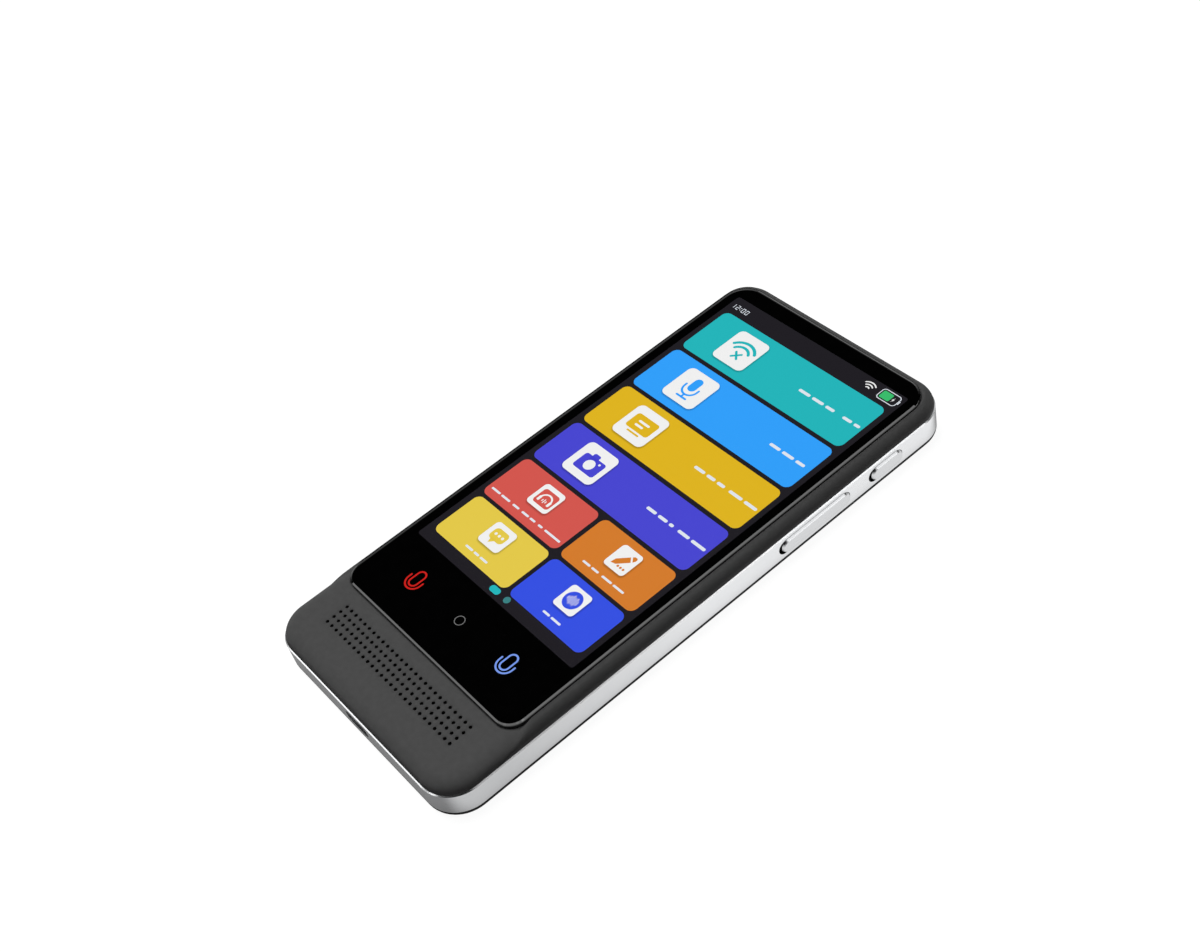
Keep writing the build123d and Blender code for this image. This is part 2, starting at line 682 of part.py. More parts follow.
board_screw_length = BOARD_THICKNESS + BOARD_BELOW_CHASSIS + CHASSIS_THICKNESS / 2
for number, place in enumerate(board_screws, start=1):
    with BuildPart() as board_screw:
        small_rod(SCREW_HEAD, (board_bottom - SCREW_HEAD_HEIGHT, board_bottom), [place])
        small_rod(SCREW_DIAMETER, (board_bottom, board_bottom + board_screw_length), [place])
    save(board_screw, f"board_screw_{number}")

can_y = (board_near + 2 * board_screw_inset + LUG_GAP + CONNECTOR_HEIGHT, board_far - BOARD_MARGIN)
can_spans = (
    (board_left + 2 * board_screw_inset + LUG_GAP, -LUG_GAP),
    (LUG_GAP, board_right - 2 * board_screw_inset - LUG_GAP),
)
for number, can_x in enumerate(can_spans, start=1):
    with BuildPart() as shield_can:
        block(can_x, can_y, (can_bottom, board_bottom))
        block(
            (can_x[0] + CAN_WALL, can_x[1] - CAN_WALL),
            (can_y[0] + CAN_WALL, can_y[1] - CAN_WALL),
            (can_bottom + CAN_WALL, board_bottom),
            mode=Mode.SUBTRACT,
        )
    save(shield_can, f"shield_can_{number}")

# ---------------------------------------------------------------- battery
with BuildPart() as battery:
    block(both(battery_x), (battery_near, battery_far), (battery_bottom, battery_top))
    chamfer(battery.edges().filter_by(Axis.Y), SOFT_CORNER)
save(battery, "battery")

tape_sides = on_both_sides((battery_x - TAPE_WIDTH) / 2, (battery_x + TAPE_WIDTH) / 2)
for number, tape_x in enumerate(tape_sides, start=1):
    with BuildPart() as battery_tape:
        block(tape_x, (battery_near + LUG_GAP, battery_far - LUG_GAP), (battery_top, chassis_bottom))
    save(battery_tape, f"battery_tape_{number}")

# ---------------------------------------------------------------- speaker
with BuildPart() as speaker:
    block(
        both(speaker_x),
        (speaker_near, speaker_far),
        (speaker_top - SPEAKER_HEIGHT, speaker_top),
    )
    block(
        both(grille_patch_x - 2 * GASKET_WALL),
        around(grille_y, grille_length / 2 - GASKET_WALL),
        (speaker_top - SPEAKER_MOUTH_DEPTH, speaker_top),
        mode=Mode.SUBTRACT,
    )
save(speaker, "speaker")

with BuildPart() as speaker_gasket:
    block(both(grille_patch_x), grille_patch_y, (speaker_top, mesh_bottom))
    block(
        both(grille_patch_x - GASKET_WALL),
        around(grille_y, grille_length / 2),
        (speaker_top, mesh_bottom),
        mode=Mode.SUBTRACT,
    )
save(speaker_gasket, "speaker_gasket")

with BuildPart() as speaker_mesh:
    block(both(grille_patch_x), grille_patch_y, (mesh_bottom, grille_pocket_top))
save(speaker_mesh, "speaker_mesh")

# ---------------------------------------------------------------- port and lower board
with BuildPart() as usb_port_shell:
    end_slot(port_shell_width, port_shell_height, (port_mouth, port_end))
    end_slot(
        port_shell_width - 2 * PORT_WALL,
        port_shell_height - 2 * PORT_WALL,
        (port_mouth, port_end - PORT_WALL),
        Mode.SUBTRACT,
    )
save(usb_port_shell, "usb_port_shell")

with BuildPart() as usb_port_tongue:
    block(
        both(TONGUE_WIDTH / 2),
        (port_mouth + TONGUE_SETBACK, port_end - PORT_WALL),
        around(KEY_HEIGHT, TONGUE_THICKNESS / 2),
    )
    fillet(usb_port_tongue.edges().filter_by(Axis.Z).group_by(Axis.Y)[0], TONGUE_THICKNESS)
save(usb_port_tongue, "usb_port_tongue")

with BuildPart() as sub_board:
    block(
        both(SUB_BOARD_WIDTH / 2),
        (sub_board_near, sub_board_far),
        (sub_board_bottom, sub_board_top),
    )
    for place in sub_screws:
        countersunk(place, sub_board_bottom, SUB_BOARD_THICKNESS, 1, SCREW_CLEARANCE, Mode.SUBTRACT)
save(sub_board, "sub_board")

sub_screw_length = SUB_BOARD_THICKNESS + LUG_HEIGHT - FIT
for number, place in enumerate(sub_screws, start=1):
    with BuildPart() as sub_board_screw:
        countersunk(place, sub_board_bottom, sub_screw_length, 1)
    save(sub_board_screw, f"sub_board_screw_{number}")

# ribbon between the boards, under the battery
floor_run = BACK_FLOOR + FLEX_THICKNESS
with BuildPart() as board_flex:
    ribbon(
        (
            (sub_board_far - FLEX_TURN, sub_board_top + FLEX_THICKNESS / 2),
            (sub_board_far + 2 * FLEX_TURN, sub_board_top + FLEX_THICKNESS / 2),
            (sub_board_far + 2 * FLEX_TURN, floor_run),
            (middle_lug_y, floor_run),
            (middle_lug_y, board_bottom - FLEX_THICKNESS / 2),
            (board_near + board_screw_inset, board_bottom - FLEX_THICKNESS / 2),
        ),
        FLEX_WIDTH,
    )
save(board_flex, "board_flex")

# ---------------------------------------------------------------- camera, microphones, antenna
with BuildPart() as camera_module:
    barrel_bottom = BACK_FLOOR + FIT
    small_rod(CAMERA_BARREL, (barrel_bottom, chassis_bottom - CAMERA_SIZE / 2), [camera_place])
    block(
        around(camera_x, CAMERA_SIZE / 2),
        around(camera_y, CAMERA_SIZE / 2),
        (chassis_bottom - CAMERA_SIZE / 2, chassis_bottom - KEY_CLEARANCE),
    )
save(camera_module, "camera_module")

for number, x in enumerate(MICROPHONE_PLACES, start=1):
    with BuildPart() as microphone:
        block(
            around(x, MICROPHONE_WIDTH / 2),
            (cavity_y - MICROPHONE_DEPTH, cavity_y - FIT),
            (band_bottom + BACK_LIP + FIT, board_top),
        )
        with BuildSketch(Plane.XZ.offset(-cavity_y)):
            with Locations((x, KEY_HEIGHT)):
                RegularPolygon(MICROPHONE_HOLE / 2, SMALL_SIDES)
        extrude(amount=MICROPHONE_HOLE, mode=Mode.SUBTRACT)
    save(microphone, f"microphone_{number}")

with BuildPart() as wifi_antenna:
    block(
        (tongue_left, tongue_left + ANTENNA_WIDTH),
        (chassis_far - ANTENNA_LENGTH - FIT, chassis_far - FIT),
        (BACK_FLOOR, BACK_FLOOR + ANTENNA_THICKNESS),
    )
save(wifi_antenna, "wifi_antenna")

# ---------------------------------------------------------------- side keys
key_face = body_x + KEY_PROUD
key_head = SLOT_WIDTH - 2 * KEY_CLEARANCE
wing_z = around(KEY_HEIGHT, key_head / 2)

with BuildPart() as power_key:
    side_slot(POWER_SLOT - 2 * KEY_CLEARANCE, key_head, power_y, (power_wing_inner, key_face))
    soft_edge(power_key, Axis.X, KEY_ROUND)
    side_plate(
        around(power_y, POWER_SLOT / 2 + WING_REACH),
        wing_z,
        (power_wing_inner, power_wing_inner + POWER_WING),
    )
    side_disc(NUB_DIAMETER, [power_y], (nub_tip, power_wing_inner))
save(power_key, "power_key")

with BuildPart() as volume_key:
    side_slot(VOLUME_SLOT - 2 * KEY_CLEARANCE, key_head, volume_y, (volume_wing_inner, key_face))
    soft_edge(volume_key, Axis.X, KEY_ROUND)
    side_plate(
        around(volume_y, VOLUME_SLOT / 2 + WING_REACH),
        wing_z,
        (volume_wing_inner, volume_wing_inner + VOLUME_WING),
    )
    side_disc(NUB_DIAMETER, dome_places[:2], (nub_tip, volume_wing_inner))
save(volume_key, "volume_key")

key_strip_y = (key_strip_near, power_y + DOME_DIAMETER)
with BuildPart() as side_key_bracket:
    side_plate(
        (key_strip_y[0] - FIT, key_strip_y[1] + FIT),
        (BACK_FLOOR + FIT, chassis_bottom - FIT),
        (bracket_inner, key_flex_inner),
    )
save(side_key_bracket, "side_key_bracket")

with BuildPart() as side_key_flex:
    side_plate(key_strip_y, around(KEY_HEIGHT, key_head / 2), (key_flex_inner, dome_foot))
save(side_key_flex, "side_key_flex")

for number, y in enumerate(dome_places, start=1):
    with BuildPart() as dome_switch:
        side_plate(
            around(y, DOME_PLATE / 2),
            around(KEY_HEIGHT, DOME_DIAMETER / 2),
            (dome_foot, dome_foot + DOME_BASE),
        )
        side_disc(DOME_DIAMETER, [y], (dome_foot + DOME_BASE, dome_tip), DOME_SLOPE)
    save(dome_switch, f"dome_switch_{number}")
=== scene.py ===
import math

import bmesh
import bpy
from mathutils import Matrix, Vector


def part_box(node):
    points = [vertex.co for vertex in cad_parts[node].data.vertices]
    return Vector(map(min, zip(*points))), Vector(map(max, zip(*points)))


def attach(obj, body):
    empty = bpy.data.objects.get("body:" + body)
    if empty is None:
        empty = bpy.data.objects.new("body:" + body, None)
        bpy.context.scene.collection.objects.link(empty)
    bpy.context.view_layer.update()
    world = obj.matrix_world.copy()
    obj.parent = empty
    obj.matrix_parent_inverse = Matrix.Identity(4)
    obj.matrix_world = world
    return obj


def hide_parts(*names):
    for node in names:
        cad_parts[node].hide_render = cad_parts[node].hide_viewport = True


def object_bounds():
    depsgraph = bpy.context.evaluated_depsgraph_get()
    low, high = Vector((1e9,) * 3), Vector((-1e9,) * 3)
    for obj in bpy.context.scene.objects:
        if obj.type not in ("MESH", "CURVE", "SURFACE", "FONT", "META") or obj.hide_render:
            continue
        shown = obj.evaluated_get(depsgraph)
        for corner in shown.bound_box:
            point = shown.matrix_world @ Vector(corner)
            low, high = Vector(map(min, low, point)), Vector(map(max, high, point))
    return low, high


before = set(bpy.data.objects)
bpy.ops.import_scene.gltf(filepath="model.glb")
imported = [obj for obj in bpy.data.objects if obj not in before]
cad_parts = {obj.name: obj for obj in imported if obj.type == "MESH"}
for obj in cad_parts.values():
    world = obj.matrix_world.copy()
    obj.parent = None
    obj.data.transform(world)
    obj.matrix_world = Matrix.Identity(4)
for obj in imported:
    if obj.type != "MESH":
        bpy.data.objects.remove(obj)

# Handheld translator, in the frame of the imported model: metres, origin at the middle of the
# flat back, +X towards the keys, +Y away from the grille, +Z out of the screen.

MM = 0.001
cad_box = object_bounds()

# ------------------------------------------------------------------ driving sizes
PICTURE_WIDTH = 62.1 * MM
PICTURE_LENGTH = 110.4 * MM
PICTURE_SHIFT = 0.27 * MM        # a picture under the glass looks shifted from the side
BORDER_NEAR = 20.95 * MM         # black glass between the picture and the chin
PICTURE_UNITS = 900              # the picture's layout is drawn on a grid this many units wide
LAYER = 0.004 * MM               # step between the printed layers of the picture

GLASS_SINK = 0.03 * MM           # the glass lies this far under the top of its node
SIDE_GAP = 0.2 * MM              # dark gap along the sides of the glass
RADIUS_FAR = 7.0 * MM            # corners of the glass
RADIUS_NEAR = 5.0 * MM
EDGE_WIDTH = 0.85 * MM           # bevel of the glass
EDGE_DROP = 0.45 * MM
EDGE_STEPS = ((0.0, 1.0), (0.12, 0.6), (0.62, 0.16), (1.0, 0.0))  # shares of its width and drop

CHIN_BELOW_GLASS = 1.25 * MM     # from the top of the glass's node to the face of the chin
HOLE_LIT_DEPTH = 0.12 * MM       # the walls of the grille's holes carry painted shade, black, from this depth on

POWER_SLOT = 11.85 * MM          # lengths of the slots in the band
VOLUME_SLOT = 24.1 * MM
SLOT_HEIGHT = 4.1 * MM
KEY_GAP = 0.04 * MM              # above and below a key
KEY_FAR_GAP = 0.15 * MM
KEY_NEAR_GAP = 1.0 * MM          # the keys sit towards the far end of their slots
KEY_EDGE = ((0.6, 0.0), (0.25, 0.2), (0.05, 0.4), (0.0, 0.6))  # depth under the face and inset, mm
KEY_ROOT = 0.1                   # the key reaches this far into its wing, mm
FACE_TO_CAVITY = 2.8 * MM        # from a key's face to the inside of the wall
WING_DEPTH = 0.65 * MM           # the wing is the plate that holds the key behind the wall
POWER_WING_GAP = 0.05 * MM       # between the wing and the wall
VOLUME_WING_GAP = 0.3 * MM       # more for the key that rocks

CORNER_STEPS = 10                # flats on a quarter round
ARC_STEP = math.radians(9)       # about the step along an arc


# ------------------------------------------------------------------ nodes of a material
NOISE_LOW, NOISE_HIGH = 0.3, 0.7  # most of the noise lies between these
MIX_FACTOR, MIX_FIRST, MIX_SECOND, MIX_RESULT = 0, 6, 7, 2  # colour sockets of a mix node


def linear(value):
    """Screen value 0 to 255 as a linear number."""
    v = value / 255
    return v / 12.92 if v <= 0.04045 else ((v + 0.055) / 1.055) ** 2.4


def colour(r, g, b):
    return (linear(r), linear(g), linear(b), 1.0)


def faded(shade, share):
    """A colour times a share."""
    return tuple(part * share for part in shade[:3]) + (1.0,)


def new_material(name):
    material = bpy.data.materials.new(name)
    material.use_nodes = True
    tree = material.node_tree
    tree.nodes.clear()
    output = tree.nodes.new("ShaderNodeOutputMaterial")
    shader = tree.nodes.new("ShaderNodeBsdfPrincipled")
    tree.links.new(shader.outputs["BSDF"], output.inputs["Surface"])
    return material, tree, shader


def node(tree, kind, inputs=None, **settings):
    made = tree.nodes.new(kind)
    for key, value in settings.items():
        setattr(made, key, value)
    for key, value in (inputs or {}).items():
        made.inputs[key].default_value = value
    return made


def feed(tree, source, socket):
    """Link another node's output to an input, or set the input to a fixed value."""
    if isinstance(source, bpy.types.NodeSocket):
        tree.links.new(source, socket)
    else:
        socket.default_value = source


def combine(tree, operation, first, second=None, kind="ShaderNodeMath"):
    """Math on one or two inputs, each another node's output or a fixed value."""
    made = node(tree, kind, operation=operation)
    feed(tree, first, made.inputs[0])
    if second is not None:
        feed(tree, second, made.inputs[1])
    return made.outputs[0]


def remap(tree, source, low, high, start=0.0, end=1.0, smooth=False):
    """Carry the range from start to end over to the range from low to high."""
    made = node(tree, "ShaderNodeMapRange", {"From Min": start, "From Max": end})
    if smooth:
        made.interpolation_type = "SMOOTHSTEP"
    tree.links.new(source, made.inputs["Value"])
    feed(tree, low, made.inputs["To Min"])
    feed(tree, high, made.inputs["To Max"])
    return made.outputs["Result"]


def blend(tree, source, dark, light):
    """Mix of two colours by a grey value."""
    made = node(tree, "ShaderNodeValToRGB")
    first, last = made.color_ramp.elements
    first.color, last.color = dark, light
    first.position, last.position = NOISE_LOW, NOISE_HIGH
    tree.links.new(source, made.inputs["Fac"])
    return made.outputs["Color"]


def place_of(tree, scale=(1, 1, 1)):
    """Object coordinates in millimetres, times a scale along each axis."""
    coordinates = tree.nodes.new("ShaderNodeTexCoord")
    mapping = node(tree, "ShaderNodeMapping")
    mapping.inputs["Scale"].default_value = [part / MM for part in scale]
    tree.links.new(coordinates.outputs["Object"], mapping.inputs["Vector"])
    return mapping.outputs["Vector"]


def parts_of(tree, vector):
    """The X, Y and Z of a vector."""
    split = tree.nodes.new("ShaderNodeSeparateXYZ")
    tree.links.new(vector, split.inputs["Vector"])
    return split.outputs["X"], split.outputs["Y"], split.outputs["Z"]


def noise(tree, place, scale, detail=2.0):
    made = node(tree, "ShaderNodeTexNoise", {"Scale": scale, "Detail": detail})
    tree.links.new(place, made.inputs["Vector"])
    return made.outputs["Fac"]


def bump(tree, shader, height, strength, distance, soften=0.0):
    """Relief from a grey value. Edges look rounded by the given radius where it isn't zero."""
    made = node(tree, "ShaderNodeBump", {"Strength": strength, "Distance": distance})
    if soften:
        rounded = node(tree, "ShaderNodeBevel", {"Radius": soften}, samples=6)
        tree.links.new(rounded.outputs["Normal"], made.inputs["Normal"])
    tree.links.new(height, made.inputs["Height"])
    tree.links.new(made.outputs["Normal"], shader.inputs["Normal"])


# ------------------------------------------------------------------ kinds of material
# Fineness of each pattern, in waves per millimetre.
PLASTIC_PATCHES, PLASTIC_SHEEN, PLASTIC_GRAIN, CLOTH_GRAIN = 0.6, 2.5, 9.0, 20.0
HAIRLINES = 3.0
POLISH_PATCHES, POLISH_SHEEN = 0.3, 0.5
SCREEN_GRAIN = 14.0
# How far the roughness strays from its value.
PLASTIC_STRAY, METAL_STRAY, POLISH_STRAY = 0.04, 0.05, 0.02
# Strength and depth of the relief.
PLASTIC_RELIEF = (0.25, 0.02 * MM)
METAL_RELIEF = (0.08, 0.01 * MM)

SCREEN_GLOW = 0.7                # share of its colour that the picture gives off
SCREEN_ROUGH = 0.12
SCREEN_DIM = 0.985               # darkest tone of the picture's fine grain


def moulded_plastic(name, dark, light, rough, grain=PLASTIC_GRAIN, specular=0.5, soften=0.0):
    """Fine spark-eroded plastic: a little mottled, with a grain of about a tenth of a mm."""
    material, tree, shader = new_material(name)
    place = place_of(tree)
    paint = blend(tree, noise(tree, place, PLASTIC_PATCHES), dark, light)
    tree.links.new(paint, shader.inputs["Base Color"])
    sheen = noise(tree, place, PLASTIC_SHEEN)
    roughness = remap(tree, sheen, rough - PLASTIC_STRAY, rough + PLASTIC_STRAY)
    tree.links.new(roughness, shader.inputs["Roughness"])
    shader.inputs["Specular IOR Level"].default_value = specular
    bump(tree, shader, noise(tree, place, grain, detail=1.0), *PLASTIC_RELIEF, soften)
    return material


def brushed_metal(name, dark, light, rough, scale):
    """Satin metal with hairlines, drawn out along the axes where the scale is small."""
    material, tree, shader = new_material(name)
    lines = noise(tree, place_of(tree, scale), HAIRLINES, detail=3.0)
    tree.links.new(blend(tree, lines, dark, light), shader.inputs["Base Color"])
    roughness = remap(tree, lines, rough - METAL_STRAY, rough + METAL_STRAY)
    tree.links.new(roughness, shader.inputs["Roughness"])
    shader.inputs["Metallic"].default_value = 1.0
    bump(tree, shader, lines, *METAL_RELIEF)
    return material


def polished(name, dark, light, rough=0.03, specular=0.5):
    """Smooth glass, film or lacquer with a faint mottle."""
    material, tree, shader = new_material(name)
    place = place_of(tree)
    paint = blend(tree, noise(tree, place, POLISH_PATCHES), dark, light)
    tree.links.new(paint, shader.inputs["Base Color"])
    roughness = remap(tree, noise(tree, place, POLISH_SHEEN), rough, rough + POLISH_STRAY)
    tree.links.new(roughness, shader.inputs["Roughness"])
    shader.inputs["Specular IOR Level"].default_value = specular
    return material


def lit(name, screen_colour, glow=SCREEN_GLOW):
    """Part of the lit picture: it gives off a share of its colour, and the rest is paint."""
    material, tree, shader = new_material(name)
    grain = noise(tree, place_of(tree), SCREEN_GRAIN, detail=0.0)
    paint = faded(screen_colour, 1 - glow)
    tree.links.new(blend(tree, grain, faded(paint, SCREEN_DIM), paint), shader.inputs["Base Color"])
    shader.inputs["Emission Color"].default_value = screen_colour
    shader.inputs["Emission Strength"].default_value = glow
    shader.inputs["Roughness"].default_value = SCREEN_ROUGH
    return material


# ------------------------------------------------------------------ materials
ALONG_THE_BAND = (0.15, 0.15, 8)
ALONG_X_AND_Z = (1, 6, 1)
ALONG_Y_AND_Z = (6, 1, 1)

shell_plastic = moulded_plastic(
    "shell_plastic", colour(72, 72, 72), colour(76, 76, 76), 0.5, specular=0.1, soften=2.0 * MM
)
back_plastic = moulded_plastic("back_plastic", colour(9, 9, 10), colour(12, 12, 13), 0.6, specular=0.15)
port_plastic = moulded_plastic("port_plastic", colour(14, 14, 15), colour(18, 18, 19), 0.5)
inner_dark = moulded_plastic("inner_dark", colour(20, 20, 21), colour(26, 26, 27), 0.6)
mesh_cloth = moulded_plastic("mesh_cloth", colour(6, 6, 6), colour(9, 9, 9), 0.8, CLOTH_GRAIN)

band_metal = brushed_metal(
    "band_metal", colour(205, 206, 208), colour(216, 217, 218), 0.24, ALONG_THE_BAND
)
key_metal = brushed_metal(
    "key_metal", colour(189, 190, 192), colour(197, 198, 199), 0.22, ALONG_THE_BAND
)
port_steel = brushed_metal(
    "port_steel", colour(190, 190, 192), colour(206, 206, 208), 0.4, ALONG_X_AND_Z
)
sheet_metal = brushed_metal(
    "sheet_metal", colour(150, 150, 152), colour(166, 166, 168), 0.35, ALONG_Y_AND_Z
)

black_glass = polished("black_glass", colour(2, 2, 2), colour(3, 3, 3), specular=1.0)
lens_glass = polished("lens_glass", colour(10, 10, 16), colour(14, 12, 22), 0.04, 0.8)
flash_plastic = polished("flash_plastic", colour(214, 208, 176), colour(226, 220, 190), 0.15)
film_amber = polished("film_amber", colour(120, 74, 22), colour(132, 84, 28), 0.3)
board_green = polished("board_green", colour(10, 58, 34), colour(14, 66, 40), 0.3)

# black painted on the walls of the grille's holes as painted shade
HOLE_SHADE = (0.001, 0.001, 0.001, 1)


def paint_hole_shade(material, low, high):
    """Painted shade: black inside a box of object space, on the walls of holes that light hardly
    reaches.
    """
    tree = material.node_tree
    paint = tree.nodes["Principled BSDF"].inputs["Base Color"]
    coordinates = tree.nodes.new("ShaderNodeTexCoord")
    vector_math = "ShaderNodeVectorMath"
    from_middle = combine(tree, "SUBTRACT", coordinates.outputs["Object"], (low + high) / 2, vector_math)
    distance = combine(tree, "ABSOLUTE", from_middle, kind=vector_math)
    outside = combine(tree, "SUBTRACT", distance, (high - low) / 2, vector_math)
    x, y, z = parts_of(tree, outside)
    furthest = combine(tree, "MAXIMUM", combine(tree, "MAXIMUM", x, y), z)
    mix = node(tree, "ShaderNodeMix", data_type="RGBA")
    tree.links.new(combine(tree, "LESS_THAN", furthest, 0.0), mix.inputs[MIX_FACTOR])
    tree.links.new(paint.links[0].from_socket, mix.inputs[MIX_FIRST])
    mix.inputs[MIX_SECOND].default_value = HOLE_SHADE
    tree.links.new(mix.outputs[MIX_RESULT], paint)


glass_low, glass_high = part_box("cover_glass")
mesh_low, mesh_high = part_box("speaker_mesh")
# painted shade: the grille's holes are black below their lit rim
hole_shade_from = glass_high.z - CHIN_BELOW_GLASS - HOLE_LIT_DEPTH
paint_hole_shade(shell_plastic, mesh_low, Vector((mesh_high.x, mesh_high.y, hole_shade_from)))

NODE_MATERIALS = {
    "front_shell": shell_plastic,
    "mid_frame": band_metal,
    "back_cover": back_plastic,
    "power_key": key_metal,
    "volume_key": key_metal,
    "usb_port_shell": port_steel,
    "usb_port_tongue": port_plastic,
    "speaker_mesh": mesh_cloth,
    "camera_window": lens_glass,
    "flash_lens": flash_plastic,
    "display_flex": film_amber,
    "board_flex": film_amber,
    "side_key_flex": film_amber,
    "wifi_antenna": film_amber,
    "touch_key_film": film_amber,
    "mainboard": board_green,
    "sub_board": board_green,
    "chassis": sheet_metal,
    "battery": sheet_metal,
    "side_key_bracket": sheet_metal,
}
METAL_FAMILIES = ("shield_can", "chassis_screw", "board_screw", "sub_board_screw", "dome_switch")

for name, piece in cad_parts.items():
    material = NODE_MATERIALS.get(name)
    if material is None:
        family = name.rstrip("0123456789").rstrip("_")
        material = sheet_metal if family in METAL_FAMILIES else inner_dark
    piece.data.materials.clear()
    piece.data.materials.append(material)


# ------------------------------------------------------------------ outlines
def rounded_box(x, y, radius, radius_near=None):
    """Points of a rounded rectangle between two values of x and y, anticlockwise."""
    near = radius if radius_near is None else radius_near
    corners = (
        (x[1] - near, y[0] + near, near, -90),
        (x[1] - radius, y[1] - radius, radius, 0),
        (x[0] + radius, y[1] - radius, radius, 90),
        (x[0] + near, y[0] + near, near, 180),
    )
    points = []
    for cx, cy, r, start in corners:
        for step in range(CORNER_STEPS + 1):
            angle = math.radians(start + 90 * step / CORNER_STEPS)
            points.append((cx + r * math.cos(angle), cy + r * math.sin(angle)))
    return points


def arc(centre, radius, start, end):
    """Points on an arc, in degrees."""
    steps = max(2, int(abs(math.radians(end - start)) / ARC_STEP))
    angles = [math.radians(start + (end - start) * i / steps) for i in range(steps + 1)]
    return [(centre[0] + radius * math.cos(a), centre[1] + radius * math.sin(a)) for a in angles]


def circle(centre, radius):
    return arc(centre, radius, 0, 360)[:-1]


def stroke(route, width):
    """Outline of a line of constant width with round ends along an open route."""
    half = width / 2
    left, right = [], []
    for i, point in enumerate(route):
        before = Vector(route[max(i - 1, 0)])
        after = Vector(route[min(i + 1, len(route) - 1)])
        direction = (after - before).normalized()
        side = Vector((-direction.y, direction.x)) * half
        left.append((point[0] + side.x, point[1] + side.y))
        right.append((point[0] - side.x, point[1] - side.y))
    first = Vector(route[1]) - Vector(route[0])
    last = Vector(route[-1]) - Vector(route[-2])
    start_angle = math.degrees(math.atan2(first.y, first.x))
    end_angle = math.degrees(math.atan2(last.y, last.x))
    start_cap = arc(route[0], half, start_angle + 90, start_angle + 270)[1:-1]
    end_cap = arc(route[-1], half, end_angle - 90, end_angle + 90)[1:-1]
    return right + end_cap + left[::-1] + start_cap


# ------------------------------------------------------------------ pieces
def add_band(mesh, row, next_row):
    """Faces between two closed rows of vertices."""
    count = len(row)
    for i in range(count):
        j = (i + 1) % count
        mesh.faces.new((row[i], row[j], next_row[j], next_row[i]))


def add_skin(mesh, loops):
    """Closed skin over loops with the same number of points, capped at both ends."""
    rows = [[mesh.verts.new(point) for point in loop] for loop in loops]
    for row, next_row in zip(rows, rows[1:]):
        add_band(mesh, row, next_row)
    mesh.faces.new(rows[-1])
    mesh.faces.new(rows[0][::-1])


def add_plate(mesh, outline, bottom, top):
    """Closed upright plate with the given outline."""
    add_skin(mesh, [[(x, y, z) for x, y in outline] for z in (bottom, top)])


def add_ring(mesh, outer, inner, bottom, top):
    """Closed upright ring between two outlines with the same number of points."""
    rows = [
        [mesh.verts.new((x, y, z)) for x, y in outline]
        for outline, z in ((outer, bottom), (outer, top), (inner, top), (inner, bottom))
    ]
    for row, next_row in zip(rows, rows[1:] + rows[:1]):
        add_band(mesh, row, next_row)


def make_piece(name, mesh, material, body="casing"):
    bmesh.ops.recalc_face_normals(mesh, faces=mesh.faces)
    data = bpy.data.meshes.new(name)
    mesh.to_mesh(data)
    mesh.free()
    data.materials.append(material)
    piece = bpy.data.objects.new(name, data)
    bpy.context.scene.collection.objects.link(piece)
    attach(piece, body)
    return piece


# ------------------------------------------------------------------ cover glass
glass_face = glass_high.z - GLASS_SINK


def screen_glass():
    """Black glass with a soft bevel all round, down to the bottom of its node."""
    node_height = glass_high.z - glass_low.z
    height_share = (glass_face - glass_low.z) / node_height
    steps = [(0.0, node_height)] + [(share * EDGE_WIDTH, drop * EDGE_DROP) for share, drop in EDGE_STEPS]
    loops = []
    for inset, drop in steps:
        outline = rounded_box(
            (glass_low.x + SIDE_GAP + inset, glass_high.x - SIDE_GAP - inset),
            (glass_low.y + inset, glass_high.y - inset),
            RADIUS_FAR - inset,
            RADIUS_NEAR - inset,
        )
        loops.append([(x, y, glass_face - drop * height_share) for x, y in outline])
    mesh = bmesh.new()
    add_skin(mesh, loops)
    glass = make_piece("screen_glass", mesh, black_glass)
    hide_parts("cover_glass")


screen_glass()


# ------------------------------------------------------------------ side keys
def side_key(name, slot_length, wing_gap):
    """Key with a soft edge all round its face, on the wing that holds it behind the wall."""
    low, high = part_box(name)
    middle_y, middle_z = (low.y + high.y) / 2, (low.z + high.z) / 2
    near = middle_y - slot_length / 2 + KEY_NEAR_GAP
    far = middle_y + slot_length / 2 - KEY_FAR_GAP
    wing_x = high.x - FACE_TO_CAVITY - wing_gap
    half = SLOT_HEIGHT / 2 - KEY_GAP
    root = ((high.x - wing_x) / MM + KEY_ROOT, 0.0)
    loops = []
    for depth, inset in (root,) + KEY_EDGE:
        edge = inset * MM
        outline = rounded_box(
            (near + edge, far - edge), (middle_z - half + edge, middle_z + half - edge), half - edge
        )
        loops.append([(high.x - depth * MM, y, z) for y, z in outline])
    mesh = bmesh.new()
    add_skin(mesh, loops)
    wing = [(low.y, low.z), (high.y, low.z), (high.y, high.z), (low.y, high.z)]
    add_skin(mesh, [[(x, y, z) for y, z in wing] for x in (wing_x - WING_DEPTH, wing_x)])
    piece = make_piece(f"{name}_cap", mesh, key_metal, name)
    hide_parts(name)


side_key("power_key", POWER_SLOT, POWER_WING_GAP)
side_key("volume_key", VOLUME_SLOT, VOLUME_WING_GAP)

# ------------------------------------------------------------------ layout of the picture
# Places and sizes of the picture are in units of its layout, x from the left and y from the top.
UNIT = PICTURE_WIDTH / PICTURE_UNITS
picture_left = PICTURE_SHIFT - PICTURE_WIDTH / 2
picture_far = glass_low.y + BORDER_NEAR + PICTURE_LENGTH
# Levels of the printed layers, in steps over the glass.
ON_GLASS, ON_BACKGROUND, ON_TILE, CARD_LEVEL, ON_CARD, ON_SYMBOL = 1, 2, 3, 5, 6, 7
LAYER_ROOT = 2                   # steps that each layer reaches down under the face of the glass


def at(x, y):
    """A point of the layout in the frame."""
    return (picture_left + x * UNIT, picture_far - y * UNIT)


def box_at(x, y, radius):
    """Rounded box between two values of x and of y."""
    left, far = at(x[0], y[0])
    right, near = at(x[1], y[1])
    return rounded_box((left, right), (near, far), radius * UNIT)


